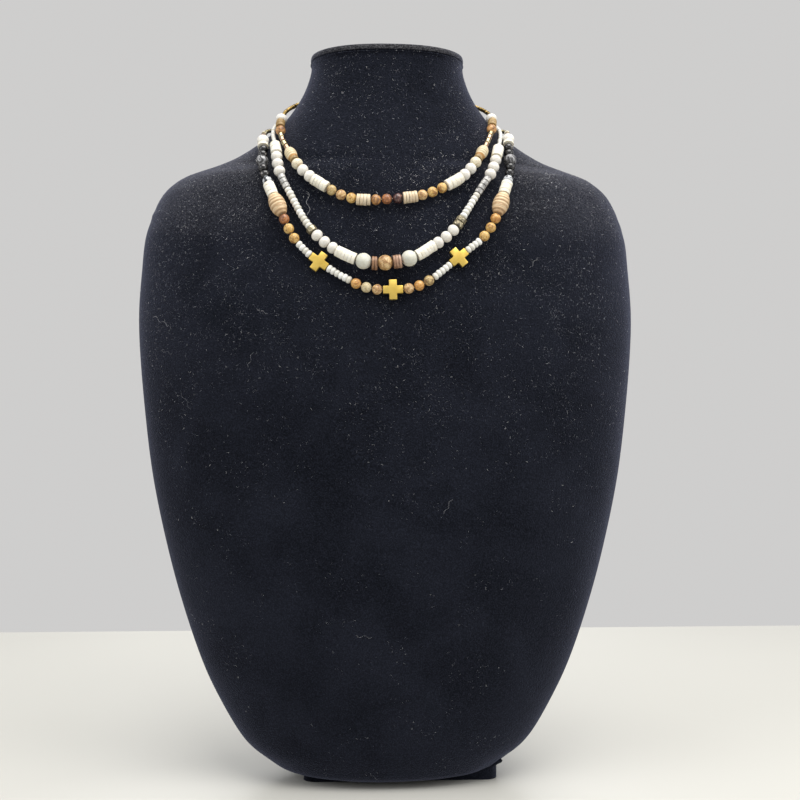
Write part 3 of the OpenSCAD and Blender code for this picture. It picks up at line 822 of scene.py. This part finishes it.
def draw_in_rings(template, first, every, share):
    """Draws every so many rings of points towards the axis, which leaves ribs between them."""
    heights = sorted({round(point.co.z, 3) for point in template.data.vertices})
    for height in heights[first:-first:every]:
        pick_points(template, lambda place: abs(place.z - height) < 0.01 and place.xy.length > 1)
        bpy.ops.transform.resize(value=(share, share, 1))
    pick(template)
    print(len(heights), "rings,", len(template.data.polygons), "faces")


CREAM_SIZE, BANDED_SIZE = (6.3, 7.6), (8.6, 11.6)   # width and length
cream_template = turned_barrel(*CREAM_SIZE, HOLE, 32, 60)
draw_in_rings(cream_template, 3, 3, 0.90)
banded_template = turned_barrel(*BANDED_SIZE, HOLE, 36, 76)
draw_in_rings(banded_template, 3, 3, 0.93)
for template in (cream_template, banded_template):
    along = template.data.attributes.new("along", "FLOAT", "POINT")
    reach = template.dimensions.z
    along.data.foreach_set("value", [0.5 + p.co.z / reach for p in template.data.vertices])

# %% [markdown]
# Their colour follows the bead and not the space round it: each point carries a number along the
# axis. The cream barrels end in orange or brown below, and the banded ones carry tan and
# brown bands, a little wavy because a noise shifts the number before it is read.

# %% Finish the barrels
def barrel_finish(name, stops, wave, gloss):
    """Bands of colour along a bead."""
    stone, shader, place = new_finish(name, IOR=1.5)
    level = attribute(place, "along") + (place.noise(260, 3) - 0.5) * wave
    clouds = place.noise(900, 3, 0.6)
    feed(shader, Base_Color=(clouds.between(0.5, 0.75) * 0.3).blend(
        level.ramp(*stops), (0.22, 0.13, 0.07)),
        Roughness=clouds * 0.2 + (gloss - 0.1), Normal=clouds.bump(0.06 * MM))
    return stone


bone, cream_tan = (0.70, 0.63, 0.44), (0.50, 0.40, 0.24)
cream_finish = barrel_finish("ribbed_cream", (
    (0.0, (0.34, 0.15, 0.04)), (0.12, (0.50, 0.27, 0.08)), (0.22, bone), (0.33, cream_tan),
    (0.40, bone), (0.49, cream_tan), (0.56, bone), (0.65, cream_tan), (0.72, bone),
    (0.81, cream_tan), (0.90, bone)), 0.06, 0.4)
rose, pale_tan, dark_tan = (0.50, 0.34, 0.19), (0.66, 0.51, 0.32), (0.31, 0.19, 0.09)
banded_finish = barrel_finish("banded_jasper", (
    (0.02, rose), (0.10, dark_tan), (0.16, rose), (0.24, pale_tan), (0.30, dark_tan), (0.36, rose),
    (0.44, pale_tan), (0.50, dark_tan), (0.56, rose), (0.64, pale_tan), (0.70, dark_tan),
    (0.76, pale_tan), (0.86, rose), (0.95, pale_tan)), 0.10, 0.42)

for template, kind, size, slot, finish in (
        (cream_template, "choker_cream_barrel", CREAM_SIZE, "cream_stone", cream_finish),
        (banded_template, "outer_banded_barrel", BANDED_SIZE, "banded_stone", banded_finish)):
    for number in (1, 2):
        middle, axis, length, width = lathe_axis(loose_solids(f"{kind}_{number}")[0])
        upwards = axis if axis.z > 0 else -axis
        wide, long = width / size[0], length / size[1]
        place = frame_at(middle, upwards, number, (wide, wide, long))
        barrel = string_up(template, [place], [0.5])
        finish_piece(barrel, f"{kind}_turned_{number}", finish, [f"{kind}_{number}"])
    bpy.data.objects.remove(template)

# %% [markdown]
# ## Gold, and the small angular beads
# The three crosses are stamped and satin plated. Their solids are right, but real stamped edges
# catch the light, so a welded copy gets a narrow bevel. The clasp is treated in the same way,
# and so are the small faceted gold beads and the grey angular ones.

# %% Make the metals
def plated(name, pale, deep, gloss):
    """A satin plated metal, worn a little duller in places."""
    metal, shader, place = new_finish(name, Metallic=1.0)
    wear = place.noise(180, 4, 0.4)
    fine = place.stretched(1, 1, 6).noise(900, 2)
    feed(shader, Base_Color=wear.between(0.35, 0.7).blend(pale, deep),
         Roughness=wear * 0.22 + (gloss - 0.11), Normal=fine.bump(0.02 * MM))
    return metal


gold = plated("satin_gold", (0.71, 0.51, 0.125), (0.58, 0.40, 0.085), 0.48)
pale_gold = plated("pale_gold", (0.46, 0.41, 0.26), (0.26, 0.21, 0.11), 0.27)
pink_gold = plated("pink_gold", (0.40, 0.28, 0.20), (0.22, 0.145, 0.09), 0.27)
for number in (1, 2, 3):
    cross = copy_solid(f"outer_cross_{number}", f"cross_{number}")
    ease_edges(cross, 0.3 * MM, 2, 50)
    finish_piece(cross, f"outer_stamped_cross_{number}", gold,
                 [f"outer_cross_{number}"], 30)

clasp = copy_solid("clasp", "clasp_bar")
ease_edges(clasp, 0.5 * MM, 3, 50)
finish_piece(clasp, "clasp_bar", gold, ["clasp"], 40)

# %% Bevel the faceted beads, pale and pinkish gold in turn
for strand in ("choker", "outer"):
    node = f"{strand}_gold_beads"
    beads = copy_solid(node, "beads")
    ease_edges(beads, 0.72 * MM, 3, 60)
    middles = [lathe_axis(solid)[0] for solid in loose_solids(node)]
    middles.sort(key=lambda middle: (middle.x > 0, middle.z))
    two_sorts(beads, (pale_gold, pink_gold), middles[::2], 1.95 * MM)
    finish_piece(beads, f"{strand}_faceted_gold", None, [node], 0)

# %% Bevel the angular grey beads
def grey_stone(name, scale, swirl, tones, gloss, **fixed):
    """A grey stone with clouds."""
    stone, shader, place = new_finish(name, IOR=1.6, **fixed)
    clouds = place.noise(scale, 3, swirl)
    feed(shader, Base_Color=clouds.ramp(*zip((0.35, 0.5, 0.65), tones)),
         Roughness=clouds * 0.2 + gloss)
    return stone


silver_grey = grey_stone("grey_stone", 420, 0.8, (
    (0.15, 0.145, 0.14), (0.36, 0.355, 0.34), (0.52, 0.51, 0.48)), 0.18)
gold_grey = grey_stone("gold_grey_stone", 520, 1.2, (
    (0.07, 0.06, 0.04), (0.26, 0.22, 0.13), (0.50, 0.45, 0.32)), 0.25, Metallic=0.45)
angular = copy_solid("middle_grey_beads", "beads")
ease_edges(angular, 0.2 * MM, 1, 25)
PRISM_WIDTH = 4.6 * MM      # the chips are wider than the prisms
chips = [lathe_axis(solid)[0] for solid in loose_solids("middle_grey_beads")
         if lathe_axis(solid)[3] > PRISM_WIDTH]
two_sorts(angular, (silver_grey, gold_grey), chips, 3.2 * MM)
finish_piece(angular, "middle_angular_grey", None, ["middle_grey_beads"], 0)
print(len(chips), "gold grey chips")

# %% [markdown]
# ## Seed beads
# Each run of seeds is one plain tube among the solids. Here every seed gets its own ring: a short
# tube with eased edges, turned like the discs but with few faces, because there are hundreds. To
# follow a tube, its two hard rims are found by their angle, and its rings are counted inwards from
# one rim: the middles of the rings are the thread's way.

# %% Follow the tubes
RIM_ANGLE = math.radians(62)


def tube_ways(node):
    """The middle line of each tube of a node, as a list of points."""
    mesh = bmesh.new()
    mesh.from_mesh(nodes[node].data)
    bmesh.ops.remove_doubles(mesh, verts=mesh.verts, dist=WELD)
    rims = [e for e in mesh.edges if e.calc_face_angle(0) > RIM_ANGLE]
    corners = {point for edge in rims for point in edge.verts}
    seen, ways = set(), []
    for start in sorted(corners, key=lambda point: tuple(point.co)):
        if start in seen:
            continue
        ring = {start}
        while True:
            more = {p for e in rims for p in e.verts if ring & set(e.verts)} - ring
            if not more:
                break
            ring |= more
        way = []
        while ring:
            seen |= ring
            way.append(sum((p.co for p in ring), Vector()) / len(ring))
            ring = {e.other_vert(p) for p in ring for e in p.link_edges} - seen
        ways.append(way)
    mesh.free()
    return ways


def along_way(way, distance):
    """The point at a distance along a line of points, and the direction there."""
    for start, end in zip(way, way[1:]):
        step = (end - start).length
        if distance <= step or end is way[-1]:
            return start.lerp(end, distance / step), (end - start).normalized()
        distance -= step


ways = {node: tube_ways(node) for node in (
    "choker_nape_seeds", "middle_white_seeds", "outer_nape_seeds", "outer_white_seeds")}
print({node: [len(way) for way in found] for node, found in ways.items()})

# %% [markdown]
# The seeds are strung along each way at their real pitch, which is 2.3 mm for seeds 4 mm wide. The
# number of them is rounded so that the run is filled. Like the real ones they differ in length and
# width, and their outer edges are round. The small ones of the nape are longer for their width.

# %% String the seeds
SEED_WIDTH, SEED_LENGTH, NAPE_SEED_WIDTH = 4.0, 2.3, 2.3
seed_template = turned_disc(SEED_WIDTH, SEED_LENGTH, 1.1, 1.0, 2, 10, inside=False)
draw = random.Random(23)


def seed_places(way, width):
    """A matrix for each seed of a run."""
    pitch, lengths = (0.58, (1.0, 1.06)) if width > 3 * MM else (0.72, (0.82, 0.94))
    long = sum((b - a).length for a, b in zip(way, way[1:]))
    count = max(1, round(long / (pitch * width)))
    places = []
    for number in range(count):
        spot, heading = along_way(way, (number + 0.5) * long / count)
        fat = draw.uniform(0.93, 1.03) * width / (SEED_WIDTH * MM) * MM
        size = long / count / SEED_LENGTH
        off = Matrix.Rotation(draw.uniform(0, 6), 3, heading) @ heading.orthogonal().normalized()
        places.append(frame_at(
            spot + off * draw.uniform(0, 0.12) * MM, heading, draw.uniform(0, 6),
            (fat, fat, size * draw.uniform(*lengths)),
            (math.radians(draw.uniform(-4, 4)), math.radians(draw.uniform(-4, 4)))))
    return places


white_glass, shader, place = new_finish(
    "white_seed", IOR=1.5, Subsurface_Weight=0.15, Subsurface_Radius=(1.0, 0.9, 0.8),
    Subsurface_Scale=0.8 * MM)
own = attribute(place, "own_number")
feed(shader, Roughness=own * 0.25 + 0.28, Base_Color=own.ramp(
    (0.0, (0.56, 0.54, 0.47)), (0.4, (0.66, 0.65, 0.60)), (1.0, (0.76, 0.76, 0.73))))


def plated_glass(name, *tones):
    """Glass lined with metal, whose tone follows each seed's own number."""
    glass, shader, place = new_finish(name, Metallic=1.0)
    own = attribute(place, "own_number")
    feed(shader, Base_Color=own.ramp(*tones), Roughness=own * 0.2 + 0.25)
    return glass


gold_glass = plated_glass(
    "gold_seed", (0.0, (0.05, 0.035, 0.015)), (0.4, (0.22, 0.15, 0.05)), (0.8, (0.40, 0.27, 0.09)),
    (1.0, (0.40, 0.38, 0.18)))
bronze_glass = plated_glass(
    "bronze_seed", (0.0, (0.035, 0.03, 0.025)), (0.7, (0.12, 0.10, 0.06)),
    (1.0, (0.42, 0.36, 0.18)))
seed_finish = {"choker_nape_seeds": (gold_glass, "gold_seed"),
               "outer_nape_seeds": (bronze_glass, "gold_seed")}
for node, runs in ways.items():
    finish, slot = seed_finish.get(node, (white_glass, "white_seed"))
    places = []
    for way in runs:
        front = node == "outer_white_seeds" or max(p.y for p in way) < -20 * MM
        places += seed_places(way, (SEED_WIDTH if front else NAPE_SEED_WIDTH) * MM)
    seeds = string_up(seed_template, places, [draw.random() for _ in places])
    finish_piece(seeds, node.replace("seeds", "seed_beads"), finish, [node], 55)
    print(f"{len(places)} seeds")
bpy.data.objects.remove(seed_template)

# %% [markdown]
# The beads are strung on beige thread, which shows only in the gaps. It is twisted, so fine
# diagonal stripes are enough at half a millimetre.

# %% Dress the threads
thread, shader, place = new_finish("thread", Roughness=0.85)
twist = place.node("ShaderNodeTexWave", {"bands_direction": "DIAGONAL"}, {
    "Vector": place, "Scale": 900.0, "Distortion": 1.0}, 1)
feed(shader, Base_Color=twist.blend((0.42, 0.36, 0.27), (0.62, 0.56, 0.45)),
     Normal=twist.bump(0.05 * MM))
for strand in ("choker", "middle", "outer"):
    dress(f"{strand}_thread", thread)
print("threads dressed")

# %% [markdown]
# ## Floor, light and camera
# The bust stands on a plain pale floor under soft light: one large lamp high in front, one fill on
# each side, one behind, and a pale surround. The floor ends 0.39 m behind the middle of the bust.

# %% Lay the floor
FLOOR_WIDTH, FLOOR_DEPTH, FLOOR_MIDDLE = 3.0, 1.586, -0.40
bpy.ops.object.select_all(action="DESELECT")
bpy.ops.mesh.primitive_plane_add(size=1, location=(0, FLOOR_MIDDLE, 0))
floor = bpy.context.object
floor.scale = (FLOOR_WIDTH, FLOOR_DEPTH, 1)
bpy.ops.object.transform_apply()
floor.name = "pale_floor"
pick_points(floor, lambda place: True)
bpy.ops.mesh.subdivide(number_cuts=6)
bpy.ops.object.mode_set(mode="OBJECT")
floor_finish, shader, place = new_finish("floor", Specular_IOR_Level=0.35)
cloud = place.noise(3, 3)
feed(shader, Base_Color=cloud.blend((0.50, 0.495, 0.46), (0.54, 0.535, 0.50)),
     Roughness=cloud * 0.15 + 0.28)
floor.data.materials.append(floor_finish)
print("floor laid")

# %% [markdown]
# The camera was worked out from the photograph: it stands 635 mm in front, level, at half the
# bust's height, and the bust is turned 2.5 degrees to the viewer's right.

# %% Set the camera and the lights
def aimed(kind, place, target, name):
    """A lamp or camera object at a place in metres that looks at a target."""
    made = bpy.data.objects.new(name, kind)
    made.location = place
    made.rotation_euler = (Vector(target) - made.location).to_track_quat("-Z", "Y").to_euler()
    bpy.context.scene.collection.objects.link(made)
    return made


def soft_lamp(name, place, target, size, power, colour=(1, 1, 1)):
    """A square lamp whose light comes from all over its face."""
    lamp = bpy.data.lights.new(name, "AREA")
    lamp.shape, lamp.size, lamp.energy, lamp.color = "SQUARE", size, power, colour
    return aimed(lamp, place, target, name)


soft_lamp("lamp_above", (0.15, -0.35, 1.25), (0, 0, 0.2), 1.0, 19, (1.0, 0.98, 0.95))
soft_lamp("lamp_left", (-1.1, -0.7, 0.7), (0, 0, 0.2), 0.8, 5, (0.95, 0.97, 1.0))
soft_lamp("lamp_right", (1.1, -0.6, 0.6), (0, 0, 0.2), 0.8, 5)
soft_lamp("lamp_behind", (0, 1.1, 0.9), (0, 0, 0.25), 0.9, 5)

PICTURE_WIDTH, FOCAL_LENGTH = 800, 1146      # in pixels of the photograph
lens = bpy.data.cameras.new("camera")
lens.sensor_width = 36.0
lens.lens = lens.sensor_width * FOCAL_LENGTH / PICTURE_WIDTH
turn = Matrix.Rotation(math.radians(-2.5), 3, "Z")
eye = turn @ Vector((7.3 * MM, -635 * MM, 205.5 * MM))
camera = aimed(lens, eye, eye + turn @ Vector((0, 1, 0)), "camera")
bpy.context.scene.camera = camera

world = bpy.data.worlds.new("pale_surround")
world.use_nodes = True
world.node_tree.nodes["Background"].inputs["Color"].default_value = (0.62, 0.615, 0.61, 1)
world.node_tree.nodes["Background"].inputs["Strength"].default_value = 1.0
bpy.context.scene.world = world
bpy.context.scene.view_settings.view_transform = "Standard"
print("camera", [round(c, 4) for c in camera.location])
